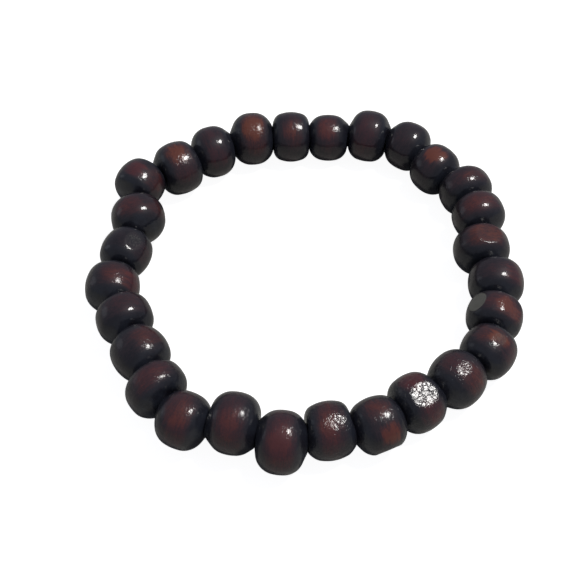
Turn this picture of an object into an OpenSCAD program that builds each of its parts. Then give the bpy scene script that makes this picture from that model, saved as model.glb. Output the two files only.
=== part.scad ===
// Stretch bracelet of dark wooden beads, lying flat in one closed row.
// Each bead is a slightly uneven barrel, drilled along its length for a thin elastic cord.
// The beads are numbered clockwise, seen from above, from the one at the back.
// Millimetres, with the surface that it lies on at z = 0 and the middle of its outline above the origin.

/* [Loop] */
// Distance from the middle of the loop to the line of beads, every 30 degrees from +X
loop_radii = [30, 32.5, 35, 32, 33, 32.5, 30, 30.5, 32.5, 31.5, 30.5, 32]; // each 28 to 36
// Bearing of the first bead, seen from the middle of the loop
first_bearing = 106.5; // [105:0.5:108]
// Extra room between neighbouring beads, which makes the loop longer
extra_space = 0; // [0:0.05:0.5]

/* [Bead shape] */
// Radius of the bulge along a bead's side
side_r = 6; // [5:0.5:12]

/* [Bores] */
// Diameter of the hole drilled through each bead
bore_d = 2.4; // [2.3:0.1:2.6]

/* [Elastic] */
// Diameter of the elastic cord
cord_d = 0.5; // [0.4:0.1:0.6]
// Diameter of the knot in it
knot_d = 1.4; // [1:0.1:1.6]
// Length of the knot
knot_length = 1.8; // [1.2:0.1:2.4]
// Bead that hides the knot
knot_bead = 2; // [1:28]

/* [Bead table] */
// Each bead's diameter, length and edge radius, how far it lies out of the loop's line, how far
// its bore is turned from that line, how far it is lifted off the surface, and the space after it
beads = [
    [9.35,  7.4,  3.3,   0.3,  -5,  0.0, 0.15],
    [8.95, 6.45,  1.9,   0.3,  -2,  0.0,  0.1],
    [ 8.3,  7.0,  2.7, -0.15,  -4, 0.05,  0.6],
    [9.15,  6.7,  2.6,  0.05,  -6, 0.05,  0.5],
    [8.65, 7.05,  2.9,  0.35,  -2, 0.05, 0.45],
    [8.75,  7.2,  3.0,  -0.9,   2,  0.1,  0.6],
    [9.15,  5.9,  2.5,   0.8,  -5, 0.05,  0.1],
    [8.85, 6.75, 2.85,  0.25,   3,  0.6, 0.45],
    [9.15, 6.85, 3.05,  -0.7,   1,  0.0,  0.3],
    [8.75, 6.95, 2.65,   0.8,  -6,  0.2,  0.4],
    [ 8.7,  5.9,  2.0, -0.05, -10,  0.1,  0.6],
    [8.35, 6.75, 2.15,   0.2,  -7, 0.35,  0.3],
    [ 8.5,  7.5,  2.7, -0.45,  16, 0.35, 0.65],
    [8.85,  6.4,  2.3,  -0.5,   5,  0.0, 0.25],
    [8.35, 7.15,  2.5,  0.35,   2, 0.45,  0.4],
    [8.45,  6.2, 1.55,  -0.9,   1,  0.4, 0.45],
    [9.15, 6.95,  3.0,  0.55,  -5, 0.05,  0.2],
    [9.05, 6.95, 2.85,  -1.2,   4,  0.8, 0.15],
    [ 8.5, 7.05,  2.9,   1.1,  10, 0.35,  0.4],
    [ 9.2, 5.55,  2.2,   0.3,  -2,  0.0,  0.3],
    [ 8.6,  7.4, 2.25, -0.45,  12,  0.6,  0.6],
    [ 8.8,  6.2,  2.4,  -0.1,   5, 0.45,  0.4],
    [ 8.6,  7.1, 2.45,  1.25,  -7,  0.1, 0.35],
    [ 8.2,  6.6,  1.9,  -0.7, -20, 0.45, 1.05],
    [9.05, 7.15, 3.05,  -1.4,  24,  0.1, 0.55],
    [ 8.4,  6.2, 1.55,   1.9,   3, 0.85,  0.6],
    [ 9.3, 6.95, 2.45, -0.45, -15, 0.05,  0.5],
    [9.05, 7.15,  3.2, -0.55,  -6, 0.05, 0.55],
]; // diameter 8 to 9.4, length 5.4 to 7.5, edge radius from 1.4 to half the length

/* [Worn flats] */
// Each flat's bead, its roll about the bore from the top towards the outside of the loop,
// its lean along the bore, and its depth
flats = [
    [ 9,   8,   0, 0.5],
    [11, -50,   0, 0.4],
    [11,  37,   0, 0.4],
    [12,  17,  -6, 0.15],
    [13,  12,   2, 0.12],
    [14,  17,   0, 0.45],
    [15, 115,   0, 0.35],
    [16,  15,  -4, 0.17],
    [24, -28,   3, 0.3],
]; // depth 0.1 to 0.6

/* [Hidden] */
// Columns of the bead table
DIAMETER = 0;
LENGTH = 1;
EDGE = 2;
OUT = 3;
TURN = 4;
LIFT = 5;
SPACE = 6;
// Columns of the table of flats
BEAD = 0;
ROLL = 1;
LEAN = 2;
DEPTH = 3;

count = len(beads);
function next(i) = (i + 1) % count;
function bead_name(i) = str("bead_", i < 9 ? "0" : "", i + 1);

bead_colour = "#3b2528";
cord_colour = "#1c1a1c";

// The loop's line: a smooth closed curve through the radii, followed clockwise
loop_samples = 180;
function wrapped(list, k) = list[(k + len(list)) % len(list)];
function smooth(a, b, c, d, t) =
    b + t * (c - a) / 2 + t * t * (a - 2.5 * b + 2 * c - d / 2) + t * t * t * (3 * b - a - 3 * c + d) / 2;
function loop_radius(bearing) =
    let (
        place = ((bearing % 360 + 360) % 360) * len(loop_radii) / 360,
        k = floor(place)
    )
    smooth(wrapped(loop_radii, k - 1), wrapped(loop_radii, k), wrapped(loop_radii, k + 1),
           wrapped(loop_radii, k + 2), place - k);
function loop_point(bearing) = loop_radius(bearing) * [cos(bearing), sin(bearing)];
loop_line = [for (k = [0:loop_samples]) loop_point(first_bearing - 360 * k / loop_samples)];
loop_run = [for (k = 0, run = 0; k <= loop_samples;
                 run = run + norm(loop_line[min(k + 1, loop_samples)] - loop_line[k]), k = k + 1) run];

// The beads and the spaces between them fill the loop exactly, so it is scaled to their length
function pitch(i) = (beads[i][LENGTH] + beads[next(i)][LENGTH]) / 2 + beads[i][SPACE] + extra_space;
bead_run = [for (i = 0, run = 0; i <= count; run = run + pitch(i % count), i = i + 1) run];
loop_scale = bead_run[count] / loop_run[loop_samples];
line_x = [for (k = [0:loop_samples]) [loop_run[k], loop_line[k].x]];
line_y = [for (k = [0:loop_samples]) [loop_run[k], loop_line[k].y]];
function line_at(run) =
    let (
        whole = loop_run[loop_samples],
        place = ((run / loop_scale) % whole + whole) % whole
    )
    loop_scale * [lookup(place, line_x), lookup(place, line_y)];

// Where each bead lies on the loop and which way its bore points
heading_reach = 1.5;
function line_heading(run) =
    let (step = line_at(run + heading_reach) - line_at(run - heading_reach))
    atan2(step.y, step.x);
function heading(i) = line_heading(bead_run[i]) + beads[i][TURN];
function outward(i) =
    let (angle = line_heading(bead_run[i]) + 90)
    [cos(angle), sin(angle)];
function on_loop(i) = line_at(bead_run[i]) + beads[i][OUT] * outward(i);
function bore_direction(i) = [cos(heading(i)), sin(heading(i)), 0];

// A bead's outline, as [distance from the bore's axis, distance along it]: where the arc of its
// bulging side is centred, and where the arc of an edge is centred. The edge's arc stands out by
// a hair, so that the two arcs cross where they meet.
hair = 0.01;
function bulge_centre(diameter) = diameter / 2 - side_r;
function edge_centre(diameter, length, edge) =
    let (along = length / 2 - edge)
    [bulge_centre(diameter) + sqrt((side_r - edge) ^ 2 - along ^ 2) + hair, along];

// The loop is moved so that the middle of its outline is above the origin
function half_reach(i, angle) =
    let (
        bulge = bulge_centre(beads[i][DIAMETER]),
        corner = edge_centre(beads[i][DIAMETER], beads[i][LENGTH], beads[i][EDGE]),
        along = abs(cos(angle - heading(i))),
        across = abs(sin(angle - heading(i)))
    )
    along * (corner.x - bulge) < across * corner.y
        ? bulge * across + side_r
        : corner.x * across + corner.y * along + beads[i][EDGE];
right_end = max([for (i = [0:count - 1]) on_loop(i).x + half_reach(i, 0)]);
left_end = min([for (i = [0:count - 1]) on_loop(i).x - half_reach(i, 0)]);
back_end = max([for (i = [0:count - 1]) on_loop(i).y + half_reach(i, 90)]);
front_end = min([for (i = [0:count - 1]) on_loop(i).y - half_reach(i, 90)]);
loop_middle = [right_end + left_end, back_end + front_end] / 2;
bead_centres = [for (i = [0:count - 1])
    [on_loop(i).x - loop_middle.x, on_loop(i).y - loop_middle.y, beads[i][DIAMETER] / 2 + beads[i][LIFT]]];

// The elastic runs straight through each bead, between points halfway from one bore to the next
function bore_end(i, side) = bead_centres[i] + side * beads[i][LENGTH] / 2 * bore_direction(i);
crossings = [for (i = [0:count - 1]) (bore_end(i, 1) + bore_end(next(i), -1)) / 2];
function in_bead(i, share) =
    let (from = wrapped(crossings, i - 1))
    from + share * (crossings[i] - from);

// Each ring of the elastic: its bead, its share of the way through and its radius
bend_share = 0.04;
cord_r = cord_d / 2;
knot_r = knot_d / 2;
knot_share = knot_length / beads[knot_bead - 1][LENGTH];
knot_steps = [[-0.6, cord_r], [-0.3, 0.8 * knot_r], [0, knot_r], [0.3, 0.8 * knot_r], [0.6, cord_r]];
function bead_rings(i) = concat(
    [[i, bend_share, cord_r]],
    i == knot_bead - 1 ? [for (step = knot_steps) [i, 0.5 + step[0] * knot_share, step[1]]] : [],
    [[i, 1 - bend_share, cord_r]]);
rings = [for (i = [0:count - 1]) each bead_rings(i)];
ring_points = [for (ring = rings) in_bead(ring[0], ring[1])];

// A closed tube through points in a loop, with a radius at each
module closed_tube(points, radii, sides) {
    n = len(points);
    corners = [for (k = [0:n - 1])
        let (
            way = wrapped(points, k + 1) - wrapped(points, k - 1),
            across = cross([0, 0, 1], way) / norm(cross([0, 0, 1], way)),
            up = cross(way, across) / norm(way)
        )
        for (s = [0:sides - 1])
            points[k] + radii[k] * (cos(360 * s / sides) * across + sin(360 * s / sides) * up)];
    skin = [for (k = [0:n - 1], s = [0:sides - 1])
        let (k2 = (k + 1) % n, s2 = (s + 1) % sides)
        [k * sides + s, k2 * sides + s, k2 * sides + s2, k * sides + s2]];
    polyhedron(points = corners, faces = skin, convexity = 6);
}

// Half of a barrel's outline: flat ends, rounded edges and a bulging side between them
module barrel_outline(diameter, length, edge) {
    bulge = bulge_centre(diameter);
    corner = edge_centre(diameter, length, edge);
    to_corner = corner - [bulge, 0];
    translate([0, -length / 2]) square([corner.x, length]);
    for (side = [-1, 1])
        translate([corner.x, side * corner.y]) circle(r = edge, $fn = 96);
    translate([bulge, 0])
        intersection() {
            circle(r = side_r, $fn = 192);
            polygon(4 * [[0, 0], [to_corner.x, -to_corner.y], to_corner]);
        }
}

// A barrel lying along +X
module barrel(diameter, length, edge) {
    rotate([0, 90, 0])
        rotate_extrude($fn = 64)
            intersection() {
                barrel_outline(diameter, length, edge);
                translate([0, -length]) square([diameter, 2 * length]);
            }
}

// What a flat takes away from a barrel of this diameter
module worn_side(diameter, roll, lean, depth) {
    rotate([-roll, 0, 0])
        rotate([0, lean, 0])
            translate([-diameter, -diameter, diameter / 2 - depth])
                cube([2 * diameter, 2 * diameter, diameter]);
}

// One bead at its place on the elastic
module bead(i) {
    color(bead_colour)
        translate(bead_centres[i])
            rotate([0, 0, heading(i)])
                difference() {
                    barrel(beads[i][DIAMETER], beads[i][LENGTH], beads[i][EDGE]);
                    for (flat = flats)
                        if (flat[BEAD] == i + 1)
                            worn_side(beads[i][DIAMETER], flat[ROLL], flat[LEAN], flat[DEPTH]);
                    translate([-beads[i][LENGTH], 0, 0])
                        rotate([0, 90, 0])
                            cylinder(d = bore_d, h = 2 * beads[i][LENGTH], $fn = 48);
                }
}

// The elastic through all the beads, with its knot
module elastic_cord() {
    color(cord_colour)
        closed_tube(ring_points, [for (ring = rings) ring[2]], 8);
}

for (i = [0:count - 1])
    bead(i);
elastic_cord();
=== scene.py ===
"""A closed stretch bracelet of dark, lacquered wooden beads, lying flat on a pale surface.

Every bead is remade from its CAD solid as a slightly hand-worn form that meets its neighbours, in
stained wood under a crinkled lacquer. Places and shapes of beads, and names that end in _MM, are in
millimetres. All other lengths are in metres.
"""

import math

import bmesh
import bpy
import numpy as np
from mathutils import Matrix, Vector, noise
from mathutils.bvhtree import BVHTree


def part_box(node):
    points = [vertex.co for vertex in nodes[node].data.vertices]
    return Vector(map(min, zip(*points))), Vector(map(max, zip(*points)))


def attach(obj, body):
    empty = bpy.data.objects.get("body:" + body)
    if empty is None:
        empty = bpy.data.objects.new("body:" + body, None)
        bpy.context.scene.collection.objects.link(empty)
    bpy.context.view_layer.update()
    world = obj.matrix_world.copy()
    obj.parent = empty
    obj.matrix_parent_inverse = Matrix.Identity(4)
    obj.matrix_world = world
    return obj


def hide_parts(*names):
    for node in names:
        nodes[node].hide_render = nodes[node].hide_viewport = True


MM = 0.001

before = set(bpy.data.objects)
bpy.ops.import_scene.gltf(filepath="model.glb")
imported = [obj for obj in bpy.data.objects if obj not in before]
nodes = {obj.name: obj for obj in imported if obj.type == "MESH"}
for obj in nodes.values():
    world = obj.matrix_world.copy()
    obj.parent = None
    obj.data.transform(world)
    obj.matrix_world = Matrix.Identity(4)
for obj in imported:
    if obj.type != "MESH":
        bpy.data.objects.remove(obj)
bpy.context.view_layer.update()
bead_names = sorted(name for name in nodes if name.startswith("bead_"))
count = len(bead_names)


# Camera

PHOTO_SIDE_PX = 580
FOCAL_PX = 961.7
VIEW_ELEVATION = math.radians(51)
VIEW_DISTANCE = 160 * MM
AIM = Vector((-2.38, -0.56, 0)) * MM
SENSOR_MM = 36
BACKWARDS = Vector((0, -math.cos(VIEW_ELEVATION), math.sin(VIEW_ELEVATION)))
VIEWPOINT = AIM + VIEW_DISTANCE * BACKWARDS


def add_camera():
    """The photograph's view: from the front and above, with the same framing."""
    data = bpy.data.cameras.new("photo_camera")
    data.sensor_width = SENSOR_MM
    data.lens = SENSOR_MM * FOCAL_PX / PHOTO_SIDE_PX
    data.clip_start = MM
    camera = bpy.data.objects.new("photo_camera", data)
    camera.location = VIEWPOINT
    camera.rotation_euler = BACKWARDS.to_track_quat("Z", "Y").to_euler()
    bpy.context.scene.collection.objects.link(camera)
    bpy.context.scene.camera = camera


add_camera()


# Meshes as arrays

def vertex_array(mesh):
    co = np.empty(len(mesh.vertices) * 3)
    mesh.vertices.foreach_get("co", co)
    return co.reshape(-1, 3)


def normal_array(mesh):
    normals = np.empty(len(mesh.vertices) * 3)
    mesh.vertices.foreach_get("normal", normals)
    return normals.reshape(-1, 3)


def face_arrays(mesh):
    normals = np.empty(len(mesh.polygons) * 3)
    areas = np.empty(len(mesh.polygons))
    mesh.polygons.foreach_get("normal", normals)
    mesh.polygons.foreach_get("area", areas)
    return normals.reshape(-1, 3), areas


def smoothstep(low, high, values):
    t = np.clip((values - low) / (high - low), 0, 1)
    return t * t * (3 - 2 * t)


# Where each bead lies, in mm

# A bore is looked for up to this many degrees either side of the line between the bead's neighbours,
# and a face counts as part of a flat end when its normal is this close to the bore.
HEADING_REACH = 40
HEADING_STEPS_PER_DEGREE = 2
END_CLOSENESS = 0.9999


class Place:
    """A bead's middle, the direction of its bore, half its length and its CAD surface."""

    def __init__(self, name, chord_heading):
        mesh = nodes[name].data
        low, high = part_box(name)
        self.centre = np.array((low + high) / 2) / MM
        self.heading = bore_heading(mesh, chord_heading)
        self.bore = np.array([math.cos(self.heading), math.sin(self.heading), 0])
        co = vertex_array(mesh) / MM
        self.half_length = np.abs((co - self.centre) @ self.bore).max()
        faces = [tuple(face.vertices) for face in mesh.polygons]
        self.surface = BVHTree.FromPolygons([tuple(point) for point in co], faces)


def bore_heading(mesh, chord_heading):
    """The direction of a bead's bore: the one that most of the bead's end surface faces."""
    normals, areas = face_arrays(mesh)
    best, best_area = chord_heading, 0
    last_step = HEADING_REACH * HEADING_STEPS_PER_DEGREE
    for step in range(-last_step, last_step + 1):
        heading = chord_heading + math.radians(step / HEADING_STEPS_PER_DEGREE)
        facing = np.abs(normals @ np.array([math.cos(heading), math.sin(heading), 0]))
        area = areas[facing > END_CLOSENESS].sum()
        if area > best_area:
            best, best_area = heading, area
    return best


def bead_places():
    middles = [sum(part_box(name), Vector()) / 2 for name in bead_names]
    places = []
    for index, name in enumerate(bead_names):
        chord = middles[(index + 1) % count] - middles[index - 1]
        places.append(Place(name, math.atan2(chord.y, chord.x)))
    return places


places = bead_places()


# Bead shapes, in mm

VOXEL_MM = 0.16
SMOOTH_STEPS = 6
SMOOTH_SHARE = 0.5

# Uneven waves of the surface, and the shift through their noise: by x and y for each next bead, and
# by z for all
SWELL_MM = 0.055
WOBBLE_MM = 0.06
WOBBLE_SPAN_MM = 4.5
DENT_MM = 0.01
DENT_SPAN_MM = 1.1
WAVE_SHIFT_X = 17.3
WAVE_SHIFT_Y = 5.1
WAVE_SHIFT_Z = 3.7

# The wood is drawn in most up to the edge radius, and not at all beyond the fade radius.
BORE_EDGE_MM = 1.2
BORE_FADE_MM = 2.6
BORE_SHRINK_MM = 0.7
BORE_SHRINK_MOST = 0.9
LEAST_RADIUS_MM = 0.01

# Two ends meet within the full radius and part at the fade radius. Along the bead, measured from its
# middle as a share of its half length, the wood moves from the first share on, and fully at the second.
MEET_MOST_MM = 1.0
MEET_FULL_MM = 1.4
MEET_FADE_MM = 3.1
MEET_SHARES = (0.4, 0.95)

# The gap to the neighbour is measured at some of the vertices near the middle of the end.
GAP_RADIUS_MM = 2.2
GAP_SHARE = 0.9
GAP_REACH_MM = 2.0
GAP_EVERY = 3
GAP_LEAST_COUNT = 8

# The elastic's triangles are merged, joined into quads up to these angles in radians, and rounded.
ELASTIC_MERGE_MM = 0.001
ELASTIC_FACE_ANGLE = 0.6
ELASTIC_SHAPE_ANGLE = 0.8
ELASTIC_LEVELS = 2


def copy_in_mm(source, name):
    mesh = source.data.copy()
    mesh.transform(Matrix.Scale(1 / MM, 4))
    mesh.materials.clear()
    piece = bpy.data.objects.new(name, mesh)
    bpy.context.scene.collection.objects.link(piece)
    return piece


def apply_modifiers(piece):
    graph = bpy.context.evaluated_depsgraph_get()
    mesh = bpy.data.meshes.new_from_object(piece.evaluated_get(graph))
    piece.modifiers.clear()
    old = piece.data
    piece.data = mesh
    bpy.data.meshes.remove(old)


def tighten_bore(co, place):
    """Draws the wood round the bore in towards the elastic."""
    from_centre = co - place.centre
    along = from_centre @ place.bore
    across = from_centre - along[:, None] * place.bore
    radius = np.maximum(np.linalg.norm(across, axis=1), LEAST_RADIUS_MM)
    drawn = BORE_SHRINK_MM * (1 - smoothstep(BORE_EDGE_MM, BORE_FADE_MM, radius))
    co -= across * (np.minimum(drawn, BORE_SHRINK_MOST * radius) / radius)[:, None]


def meet_neighbour(co, place, other, side):
    """Domes a bead's end outwards, up to half of the way to the next bead."""
    towards = other.centre - place.centre
    towards /= np.linalg.norm(towards)
    own_end = place.centre + side * place.half_length * place.bore
    other_end = other.centre - side * other.half_length * other.bore
    meeting = (own_end + other_end) / 2
    from_meeting = co - meeting
    depth = from_meeting @ towards
    across = from_meeting - depth[:, None] * towards
    reach = np.linalg.norm(across, axis=1)
    along = side * ((co - place.centre) @ place.bore) / place.half_length
    chosen = np.flatnonzero((reach < MEET_FADE_MM) & (along > MEET_SHARES[0]))
    rows, gaps = [], []
    for k in chosen[::GAP_EVERY]:
        if reach[k] > GAP_RADIUS_MM or along[k] < GAP_SHARE:
            continue
        point, _, _, gap = other.surface.ray_cast(Vector(co[k]), Vector(towards), GAP_REACH_MM)
        if point is not None:
            rows.append([1, *across[k]])
            gaps.append(gap)
    if len(gaps) < GAP_LEAST_COUNT:
        return
    fit = np.linalg.lstsq(np.array(rows), np.array(gaps), rcond=None)[0]
    gap = np.clip(fit[0] + across[chosen] @ fit[1:], 0, MEET_MOST_MM)
    share = 1 - smoothstep(MEET_FULL_MM, MEET_FADE_MM, reach[chosen])
    share = share * smoothstep(*MEET_SHARES, along[chosen])
    co[chosen] += (0.5 * gap * share)[:, None] * towards


def wear(co, normals, offset):
    """Moves each vertex along its normal, in broad and in fine uneven waves."""
    push = np.empty(len(co))
    for k, point in enumerate(co):
        where = Vector(point) + offset
        broad = noise.noise(where / WOBBLE_SPAN_MM)
        fine = noise.noise(where / DENT_SPAN_MM)
        push[k] = SWELL_MM + WOBBLE_MM * broad + DENT_MM * fine
    co += normals * push[:, None]


def make_bead(name, index):
    piece = copy_in_mm(nodes[name], "wood_" + name)
    remesh = piece.modifiers.new("remesh", "REMESH")
    remesh.mode = "VOXEL"
    remesh.voxel_size = VOXEL_MM
    smooth = piece.modifiers.new("smooth", "SMOOTH")
    smooth.factor = SMOOTH_SHARE
    smooth.iterations = SMOOTH_STEPS
    apply_modifiers(piece)
    mesh = piece.data
    place = places[index]
    co = vertex_array(mesh)
    normals = normal_array(mesh)
    tighten_bore(co, place)
    meet_neighbour(co, place, places[(index + 1) % count], 1)
    meet_neighbour(co, place, places[index - 1], -1)
    wear(co, normals, Vector((index * WAVE_SHIFT_X, index * WAVE_SHIFT_Y, WAVE_SHIFT_Z)))
    mesh.vertices.foreach_set("co", (co * MM).ravel())
    mesh.update()
    mesh.shade_smooth()
    return piece


def make_elastic():
    piece = copy_in_mm(nodes["elastic_cord"], "smooth_elastic")
    mesh = bmesh.new()
    mesh.from_mesh(piece.data)
    bmesh.ops.remove_doubles(mesh, verts=mesh.verts, dist=ELASTIC_MERGE_MM)
    bmesh.ops.join_triangles(
        mesh,
        faces=mesh.faces,
        angle_face_threshold=ELASTIC_FACE_ANGLE,
        angle_shape_threshold=ELASTIC_SHAPE_ANGLE,
    )
    mesh.to_mesh(piece.data)
    mesh.free()
    smooth = piece.modifiers.new("round", "SUBSURF")
    smooth.levels = ELASTIC_LEVELS
    smooth.render_levels = ELASTIC_LEVELS
    apply_modifiers(piece)
    piece.data.transform(Matrix.Scale(MM, 4))
    piece.data.shade_smooth()
    return piece


# Looks of each bead, as the photograph shows them: how crackled and how gritty its lacquer is, the
# warm band round its bore as [place along the bore, strength], and its warm patches as [across, up,
# size, strength, orange], where across and up are from the bead's middle in radii, seen from the
# photograph's view

LOOKS = [
    (0.5, 0.25, [0.05, 0.30], [[0.0, 0.60, 0.50, 0.62, 0.9], [0.20, 0.0, 0.60, 0.30, 0.5]]),
    (0.3, 0.15, [-0.10, 0.25], [[0.50, 0.20, 0.60, 0.35, 0.5], [-0.10, 0.30, 0.30, 0.25, 0.1]]),
    (0.3, 0.12, [0.0, 0.25], [[-0.05, 0.50, 0.45, 0.60, 0.3], [-0.10, -0.20, 0.40, 0.15, 0.0]]),
    (0.1, 0.08, [0.0, 0.20], [[-0.30, 0.10, 0.80, 0.35, 0.0]]),
    (0.1, 0.05, [0.0, 0.10], [[0.10, 0.30, 0.60, 0.12, 0.2]]),
    (0.15, 0.1, [0.0, 0.15], [[0.05, 0.65, 0.36, 0.90, 0.9], [0.05, 0.25, 0.50, 0.25, 0.2]]),
    (0.3, 0.25, [0.0, 0.15], [[0.50, 0.60, 0.50, 0.30, 0.5], [-0.10, 0.20, 0.50, 0.20, 0.1]]),
    (0.2, 0.15, [0.1, 0.20], [[0.10, 0.50, 0.60, 0.55, 0.3]]),
    (0.3, 0.1, [0.0, 0.10], [[0.20, 0.65, 0.65, 0.62, 0.8]]),
    (0.2, 0.2, [0.0, 0.10], [[0.75, 0.30, 0.45, 0.55, 0.1], [0.10, 0.50, 0.40, 0.20, 0.2]]),
    (0.4, 0.1, [0.0, 0.10], [[0.10, 0.60, 0.45, 0.55, 0.3], [0.65, 0.20, 0.50, 0.70, 0.6]]),
    (0.3, 0.08, [0.0, 0.10], [
        [-0.05, 0.65, 0.40, 0.50, 0.5],
        [0.46, 0.46, 0.35, 0.55, 0.8],
        [0.85, -0.05, 0.40, 0.45, 0.1],
    ]),
    (0.6, 0.5, [0.0, 0.15], [[0.60, 0.0, 0.50, 0.50, 0.5], [-0.10, 0.65, 0.40, 0.40, 0.2]]),
    (1, 0.15, [0.0, 0.15], [[-0.20, 0.75, 0.40, 0.75, 0.0], [0.60, -0.35, 0.45, 0.60, 0.0]]),
    (0.36, 0.22, [0.2, 0.15], [[0.0, 0.60, 0.40, 0.55, 0.5], [0.50, -0.30, 0.36, 0.85, 0.7]]),
    (0.6, 0.9, [0.1, 0.30], [[0.05, 0.50, 0.50, 0.45, 0.3], [0.05, -0.30, 0.50, 0.40, 0.1]]),
    (0.34, 0.15, [0.0, 0.35], [[0.0, 0.40, 0.50, 0.35, 0.1], [0.0, -0.35, 0.60, 0.50, 0.1]]),
    (0.4, 0.15, [0.0, 0.20], [[-0.30, 0.40, 0.55, 0.35, 0.1], [-0.20, -0.35, 0.60, 0.42, 0.2]]),
    (0.36, 0.22, [0.0, 0.20], [[-0.15, 0.45, 0.55, 0.50, 0.4], [-0.20, -0.45, 0.50, 0.45, 0.1]]),
    (0.5, 0.15, [0.0, 0.15], [[-0.20, 0.50, 0.55, 0.50, 0.2], [-0.30, -0.50, 0.50, 0.15, 0.1]]),
    (0.28, 0.15, [0.0, 0.10], [[0.20, 0.65, 0.50, 0.45, 0.5], [0.70, 0.0, 0.40, 0.25, 0.2]]),
    (0.15, 0.1, [0.0, 0.10], [[0.0, 0.60, 0.60, 0.30, 0.2]]),
    (0.3, 0.12, [0.0, 0.15], [[0.05, 0.50, 0.50, 0.50, 0.4], [0.75, 0.15, 0.40, 0.60, 0.1]]),
    (0.15, 0.04, [0.0, 0.05], [[0.60, -0.20, 0.45, 0.25, 0.1]]),
    (0.1, 0.05, [0.0, 0.15], [[-0.35, 0.45, 0.45, 0.50, 0.3], [0.60, 0.20, 0.50, 0.35, 0.5]]),
    (0.2, 0.1, [0.0, 0.10], [[-0.20, 0.65, 0.40, 0.75, 0.0], [0.60, 0.10, 0.50, 0.40, 0.5]]),
    (0.5, 0.3, [0.0, 0.15], [[-0.10, 0.60, 0.42, 0.72, 0.9], [0.30, 0.0, 0.50, 0.35, 0.2]]),
    (0.1, 0.08, [0.0, 0.15], [[-0.30, 0.60, 0.50, 0.30, 0.1], [0.15, -0.25, 0.40, 0.40, 0.0]]),
]


def direction_on_bead(place, across, up):
    """The direction from a bead's middle to the spot that the photograph's view shows there."""
    to_view = (VIEWPOINT - Vector(place.centre) * MM).normalized()
    right = Vector((1, 0, 0))
    right = (right - right.dot(to_view) * to_view).normalized()
    upward = to_view.cross(right)
    facing = math.sqrt(max(0.0, 1 - across * across - up * up))
    return (across * right + up * upward + facing * to_view).normalized()


# Materials

class Nodes:
    """Short calls for adding and linking shader nodes."""

    def __init__(self, material):
        material.use_nodes = True
        self.tree = material.node_tree
        self.tree.nodes.clear()

    def add(self, kind, inputs=None, **settings):
        node = self.tree.nodes.new("ShaderNode" + kind)
        for key, value in settings.items():
            setattr(node, key, value)
        for key, value in (inputs or {}).items():
            if isinstance(value, bpy.types.NodeSocket):
                self.tree.links.new(value, node.inputs[key])
            else:
                node.inputs[key].default_value = value
        return node

    def maths(self, operation, a, b=0.0, c=0.0, clamp=False):
        node = self.add("Math", {0: a, 1: b, 2: c}, operation=operation)
        node.use_clamp = clamp
        return node.outputs[0]

    def sway(self, base, pattern, amount, clamp=False):
        """The base, moved by up to half of the amount either way as the pattern runs from 0 to 1."""
        centred = self.maths("SUBTRACT", pattern, 0.5)
        return self.maths("MULTIPLY_ADD", centred, amount, base, clamp)

    def vector(self, operation, a, b):
        return self.add("VectorMath", {0: a, 1: b}, operation=operation).outputs[0]

    def dot(self, a, b):
        return self.add("VectorMath", {0: a, 1: b}, operation="DOT_PRODUCT").outputs["Value"]

    def smooth(self, value, low, high):
        inputs = {"Value": value, "From Min": low, "From Max": high}
        return self.add("MapRange", inputs, interpolation_type="SMOOTHSTEP").outputs[0]

    def noise(self, place, scale, detail, roughness, output=0):
        inputs = {"Vector": place, "Scale": scale, "Detail": detail, "Roughness": roughness}
        return self.add("TexNoise", inputs).outputs[output]

    def cells(self, place, scale, edge):
        """1 within the cells of a crackle, falling to 0 along the cracks between them."""
        inputs = {"Vector": place, "Scale": scale}
        from_crack = self.add("TexVoronoi", inputs, feature="DISTANCE_TO_EDGE").outputs["Distance"]
        return self.smooth(from_crack, 0.0, edge)

    def mix(self, share, a, b):
        return self.add("Mix", {0: share, 6: a, 7: b}, data_type="RGBA").outputs[2]

    def ramp(self, factor, stops):
        node = self.add("ValToRGB", {"Fac": factor})
        elements = node.color_ramp.elements
        while len(elements) < len(stops):
            elements.new(0.5)
        for element, (place, colour) in zip(elements, stops):
            element.position = place
            element.color = (*colour, 1)
        return node.outputs["Color"]


# Colours of the wood, from the deepest stain to the best lit grain
CRIMSON_STAIN = [
    (0.0, (0.008, 0.007, 0.012)),
    (0.35, (0.026, 0.015, 0.021)),
    (0.7, (0.053, 0.018, 0.024)),
    (1.0, (0.086, 0.020, 0.025)),
]
ORANGE_STAIN = [
    (0.0, (0.009, 0.008, 0.012)),
    (0.35, (0.028, 0.016, 0.020)),
    (0.7, (0.070, 0.021, 0.019)),
    (1.0, (0.145, 0.038, 0.022)),
]
# Bluish dark of the end grain, which is also painted shade on the ends that face the neighbouring beads
END_GRAIN_AND_PAINTED_SHADE = (0.018, 0.021, 0.031, 1)
# Pale grey of rubbed wood, and on one flat a painted reflection of the pale floor
PALE_WOOD_AND_PAINTED_REFLECTION = (0.15, 0.15, 0.13, 1)

# Pale flats: bead index, then the flat's roll and lean in degrees, its reach in radians and how pale it
# is. Bead 10's flat is wholly pale as a painted reflection of the pale floor; the others are rubbed to
# paler wood in specks
PALE_FLATS = {
    10: (-50, 0, 0.40, 1.0),
    11: (17, -6, 0.22, 0.16),
    23: (-28, 3, 0.29, 0.08),
}
PALE_EDGE_OUT = 0.03
PALE_EDGE_IN = 0.02

# Patterns in the wood and the lacquer: scale per mm, detail and roughness
CLOUD = (0.45, 3, 0.55)
STREAKS = (0.8, 3, 0.55)
FINE_STREAKS = (2.6, 3, 0.6)
PORES = (4.0, 2, 0.5)
RIPPLE = (2.2, 1, 0.5)
CRACK_BEND = (1.6, 2, 0.5)
STREAK_STRETCH = (2.2, 0.45, 0.45)
PATTERN_SHIFT = (13.7, 7.9, 3.1)

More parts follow.
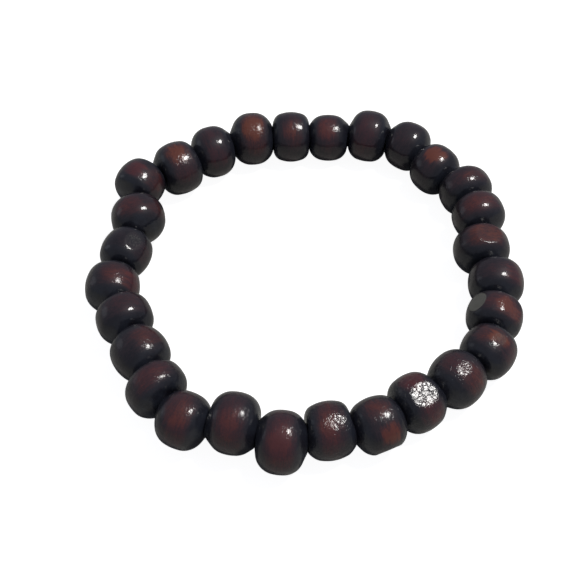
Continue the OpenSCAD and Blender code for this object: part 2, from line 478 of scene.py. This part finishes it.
# How much of the warm grain shows, from 0 to 1, and how far each pattern moves that
SHOW_BASE = 0.10
SHOW_BY_CLOUD = 0.55
SHOW_BY_STREAKS = 0.35
SHOW_BY_FINE_STREAKS = 0.62
SHOW_BY_PORES = 0.42
# Less grain shows at the ends: dark end grain, and painted shade where the beads face each other
SHOW_BY_END_GRAIN_AND_SHADE = -0.45
ORANGE_BY_CLOUD = 0.6

# Shares of the half length between which the warm band fades out and the dark end grain sets in, with
# painted shade on the ends that face the neighbouring beads, and the values of the cloud pattern between
# which the end takes its own colour
BAND_FADE = (0.05, 0.75)
END_GRAIN_AND_SHADE_RISE = (0.45, 0.98)
END_GRAIN_AND_SHADE_IN_CLOUD = (0.25, 0.65)

# A patch is full within one multiple of its size, and gone at another or at the widest angle in
# radians, with an edge that wavers.
PATCH_FULL = 0.1
PATCH_GONE = 1.6
PATCH_WIDEST = 1.5
PATCH_WAVER = 0.2

# Relief of the lacquer. Cracks have a scale per mm and the distance over which their edge rises, and
# all heights are shares of the relief.
RELIEF_MM = 0.1
WIDE_CRACKS = (1.15, 0.10)
WIDE_CRACK_HEIGHT = 0.24
FINE_CRACKS = (2.6, 0.11)
FINE_CRACK_HEIGHT = 0.05
RIPPLE_HEIGHT = 0.06
GRIT_HEIGHT = 0.5


def bead_directions(n, place):
    """The place from a bead's middle in mm, with x along the bore, and its direction in the frame."""
    in_frame = n.add("TexCoord").outputs["Object"]
    from_centre = n.vector("SUBTRACT", in_frame, Vector(place.centre) * MM)
    in_mm = n.add("VectorMath", {0: from_centre, "Scale": 1 / MM}, operation="SCALE").outputs[0]
    turn = {"Vector": in_mm, "Angle": -place.heading}
    turned = n.add("VectorRotate", turn, rotation_type="Z_AXIS").outputs[0]
    facing = n.add("VectorMath", {0: in_mm}, operation="NORMALIZE").outputs[0]
    return turned, facing


def warm_patches(n, place, patches, facing, streaks, show):
    """Adds each patch to how much grain shows, and gives with it how orange the grain is."""
    orange = 0.0
    for across, up, size, strength, hue in patches:
        nearness = n.dot(facing, direction_on_bead(place, across, up))
        uneven = n.sway(nearness, streaks, PATCH_WAVER)
        reach = math.cos(min(PATCH_GONE * size, PATCH_WIDEST))
        share = n.smooth(uneven, reach, math.cos(PATCH_FULL * size))
        show = n.maths("MULTIPLY_ADD", share, strength, show)
        orange = n.maths("MULTIPLY_ADD", share, hue, orange)
    return show, orange


def flat_direction(place, roll, lean):
    """The way that a flat faces, rolled from the top to the loop's outside and leaned along the bore."""
    along = Vector(place.bore)
    outwards = Vector((-along.y, along.x, 0))
    rolled = math.sin(roll) * outwards + math.cos(roll) * Vector((0, 0, 1))
    return math.sin(lean) * along + math.cos(lean) * rolled


def rubbed_flat_and_painted_reflection(n, place, flat, facing, pores, colour):
    """Shows pale colour on a flat, whole or in specks: rubbed pale wood, and on bead 10 a painted
    reflection of the floor.
    """
    roll, lean, reach, paleness = flat
    nearness = n.dot(facing, flat_direction(place, math.radians(roll), math.radians(lean)))
    share = n.smooth(nearness, math.cos(reach + PALE_EDGE_OUT), math.cos(reach - PALE_EDGE_IN))
    specks = n.sway(paleness, pores, 1.0 - paleness, clamp=True)
    return n.mix(n.maths("MULTIPLY", share, specks), colour, PALE_WOOD_AND_PAINTED_REFLECTION)


def wood_colour(n, index, turned, own, facing):
    """Grain that shows through the stain in patches, streaks and a band, and dark end grain with painted
    shade on the ends that face the neighbouring beads.
    """
    place = places[index]
    _, _, band, patches = LOOKS[index]
    along = n.maths("DIVIDE", n.add("SeparateXYZ", {0: turned}).outputs[0], place.half_length)
    from_band = n.maths("ABSOLUTE", n.maths("SUBTRACT", along, band[0]))
    band_share = n.maths("SUBTRACT", 1.0, n.smooth(from_band, *BAND_FADE))
    # Rises towards both ends: dark end grain and painted shade towards the neighbouring beads
    end_grain_and_shade = n.smooth(n.maths("ABSOLUTE", along), *END_GRAIN_AND_SHADE_RISE)

    rings = n.vector("MULTIPLY", own, STREAK_STRETCH)
    cloud = n.noise(own, *CLOUD)
    streaks = n.noise(rings, *STREAKS)
    fine_streaks = n.noise(rings, *FINE_STREAKS)
    pores = n.noise(own, *PORES)

    show = n.maths("MULTIPLY_ADD", band_share, band[1], SHOW_BASE)
    show, orange = warm_patches(n, place, patches, facing, streaks, show)
    show = n.sway(show, cloud, SHOW_BY_CLOUD)
    show = n.sway(show, streaks, SHOW_BY_STREAKS)
    show = n.sway(show, fine_streaks, SHOW_BY_FINE_STREAKS)
    show = n.sway(show, pores, SHOW_BY_PORES)
    show = n.maths("MULTIPLY_ADD", end_grain_and_shade, SHOW_BY_END_GRAIN_AND_SHADE, show, clamp=True)
    orange = n.sway(orange, cloud, ORANGE_BY_CLOUD, clamp=True)
    colour = n.mix(orange, n.ramp(show, CRIMSON_STAIN), n.ramp(show, ORANGE_STAIN))
    # Painted shade on the ends that face the neighbouring beads, mixed with the dark end grain
    end_shade_share = n.maths("MULTIPLY", end_grain_and_shade, n.smooth(cloud, *END_GRAIN_AND_SHADE_IN_CLOUD))
    colour = n.mix(end_shade_share, colour, END_GRAIN_AND_PAINTED_SHADE)
    # Pale flats: rubbed wood, and on bead 10 a painted reflection of the floor
    if index in PALE_FLATS:
        colour = rubbed_flat_and_painted_reflection(n, place, PALE_FLATS[index], facing, pores, colour)
    return colour


def lacquer_relief(n, index, own):
    """Cells between wide and fine cracks, over ripples that are higher where the lacquer is gritty."""
    crackle, grit, _, _ = LOOKS[index]
    bent = n.vector("ADD", own, n.noise(own, *CRACK_BEND, output="Color"))
    height = n.maths("MULTIPLY", n.cells(bent, *WIDE_CRACKS), WIDE_CRACK_HEIGHT * crackle)
    fine_cells = n.cells(bent, *FINE_CRACKS)
    height = n.maths("MULTIPLY_ADD", fine_cells, FINE_CRACK_HEIGHT * crackle, height)
    ripple = n.noise(own, *RIPPLE)
    height = n.maths("MULTIPLY_ADD", ripple, RIPPLE_HEIGHT + GRIT_HEIGHT * grit, height)
    return n.add("Bump", {"Height": height, "Strength": 1.0, "Distance": RELIEF_MM * MM}).outputs[0]


def wood_material(name, index):
    """Stained wood, dark where the stain is deep and at its end grain, with painted shade on the ends that
    face the neighbouring beads, under a crinkled lacquer.
    """
    material = bpy.data.materials.new(name)
    n = Nodes(material)
    turned, facing = bead_directions(n, places[index])
    own = n.vector("ADD", turned, tuple(step * index for step in PATTERN_SHIFT))
    colour = wood_colour(n, index, turned, own, facing)
    bump = lacquer_relief(n, index, own)
    shader = n.add(
        "BsdfPrincipled",
        {
            "Base Color": colour,
            "Roughness": 0.45,
            "Specular IOR Level": 0.2,
            "Coat Weight": 1.0,
            "Coat Roughness": 0.05,
            "Coat IOR": 1.5,
            "Normal": bump,
            "Coat Normal": bump,
        },
    )
    n.add("OutputMaterial", {"Surface": shader.outputs[0]})
    return material


# Pattern of the elastic's ribs: scale per metre, detail and roughness
RIBS = (9000, 2, 0.5)
RIB_RELIEF_MM = 0.02
RIB_COLOURS = [(0.3, (0.012, 0.010, 0.012)), (0.7, (0.03, 0.026, 0.03))]


def elastic_material():
    material = bpy.data.materials.new("dark_elastic")
    n = Nodes(material)
    ribs = n.noise(n.add("TexCoord").outputs["Object"], *RIBS)
    bump = n.add("Bump", {"Height": ribs, "Strength": 0.2, "Distance": RIB_RELIEF_MM * MM}).outputs[0]
    colour = n.ramp(ribs, RIB_COLOURS)
    shader = n.add("BsdfPrincipled", {"Base Color": colour, "Roughness": 0.5, "Normal": bump})
    n.add("OutputMaterial", {"Surface": shader.outputs[0]})
    return material


def matt_material(name, colour, glow):
    material = bpy.data.materials.new(name)
    n = Nodes(material)
    shader = n.add(
        "BsdfPrincipled",
        {
            "Base Color": (*colour, 1),
            "Roughness": 0.9,
            "Specular IOR Level": 0.1,
            "Emission Color": (1, 1, 1, 1),
            "Emission Strength": glow,
        },
    )
    n.add("OutputMaterial", {"Surface": shader.outputs[0]})
    return material


# The bracelet

for index, name in enumerate(bead_names):
    bead = make_bead(name, index)
    bead.data.materials.append(wood_material("lacquered_" + name, index))
    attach(bead, "root")
    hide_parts(name)

elastic = make_elastic()
elastic.data.materials.append(elastic_material())
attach(elastic, "root")
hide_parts("elastic_cord")


# Floor, lights and surroundings

# The floor that the camera sees is almost without shadows, and curves up into a wall: its profile is
# the radius and height of each ring. The beads mirror a second, greyer floor, which is lit and shaded
# as a real surface is.
WHITE_PROFILE = [(0.7, 0), (0.95, 0.03), (1.1, 0.12), (1.2, 0.3), (1.22, 1.2)]
WHITE_SIDES = 96
WHITE_COLOUR = (0.5, 0.5, 0.5)
WHITE_GLOW = 0.93
GREY_SIDE = 1.6
GREY_DEPTH = 0.02 * MM
GREY_COLOUR = (0.41, 0.405, 0.375)
KEY_DIRECTION = Vector((0.43, 0.11, 0.895)).normalized()
KEY_SPREAD = math.radians(16)
KEY_BRIGHTNESS = 0.58
KEY_COLOUR = (1, 0.98, 0.96)
SIDE_DIRECTION = Vector((-0.93, 0.25, 0.27)).normalized()
SIDE_SPREAD = math.radians(24)
SIDE_BRIGHTNESS = 0.014
SIDE_COLOUR = (0.85, 0.92, 1.0)
LAMP_DISTANCE = 0.6
SKY_COLOUR = (0.80, 0.84, 1.0)
SKY_STRENGTH = 0.24


def add_stage_piece(name, mesh, material):
    mesh.materials.append(material)
    piece = bpy.data.objects.new(name, mesh)
    bpy.context.scene.collection.objects.link(piece)
    return piece


def add_white_floor():
    """The pale floor and the wall that it curves up into."""
    corners = [(0, 0, 0)]
    for radius, height in WHITE_PROFILE:
        for k in range(WHITE_SIDES):
            angle = 2 * math.pi * k / WHITE_SIDES
            corners.append((radius * math.cos(angle), radius * math.sin(angle), height))
    faces = [(0, 1 + k, 1 + (k + 1) % WHITE_SIDES) for k in range(WHITE_SIDES)]
    for ring in range(len(WHITE_PROFILE) - 1):
        for k in range(WHITE_SIDES):
            a = 1 + ring * WHITE_SIDES + k
            b = 1 + ring * WHITE_SIDES + (k + 1) % WHITE_SIDES
            faces.append((a, a + WHITE_SIDES, b + WHITE_SIDES, b))
    mesh = bpy.data.meshes.new("white_floor")
    mesh.from_pydata(corners, [], faces)
    mesh.shade_smooth()
    floor = add_stage_piece("white_floor", mesh, matt_material("white_paper", WHITE_COLOUR, WHITE_GLOW))
    floor.visible_diffuse = False
    floor.visible_glossy = False
    floor.visible_transmission = False
    floor.visible_shadow = False


def add_grey_floor():
    half = GREY_SIDE / 2
    corners = [(x, y, -GREY_DEPTH) for x, y in ((-half, -half), (half, -half), (half, half), (-half, half))]
    mesh = bpy.data.meshes.new("grey_floor")
    mesh.from_pydata(corners, [], [(0, 1, 2, 3)])
    floor = add_stage_piece("grey_floor", mesh, matt_material("grey_paper", GREY_COLOUR, 0.0))
    floor.visible_camera = False


def add_light(name, direction, spread, brightness, colour):
    """A soft round lamp. Brightness is the share of white that it gives a white floor face on."""
    data = bpy.data.lights.new(name, "AREA")
    data.shape = "DISK"
    data.size = 2 * LAMP_DISTANCE * math.tan(spread / 2)
    data.energy = brightness * math.pi * math.pi * LAMP_DISTANCE ** 2
    data.color = colour
    lamp = bpy.data.objects.new(name, data)
    lamp.location = direction * LAMP_DISTANCE
    lamp.rotation_euler = direction.to_track_quat("Z", "Y").to_euler()
    bpy.context.scene.collection.objects.link(lamp)


def add_surroundings(colour, strength):
    world = bpy.data.worlds.new("studio")
    world.use_nodes = True
    background = world.node_tree.nodes["Background"]
    background.inputs["Color"].default_value = (*colour, 1)
    background.inputs["Strength"].default_value = strength
    bpy.context.scene.world = world


add_white_floor()
add_grey_floor()
add_light("key_light", KEY_DIRECTION, KEY_SPREAD, KEY_BRIGHTNESS, KEY_COLOUR)
add_light("side_light", SIDE_DIRECTION, SIDE_SPREAD, SIDE_BRIGHTNESS, SIDE_COLOUR)
add_surroundings(SKY_COLOUR, SKY_STRENGTH)
bpy.context.scene.view_settings.view_transform = "Standard"
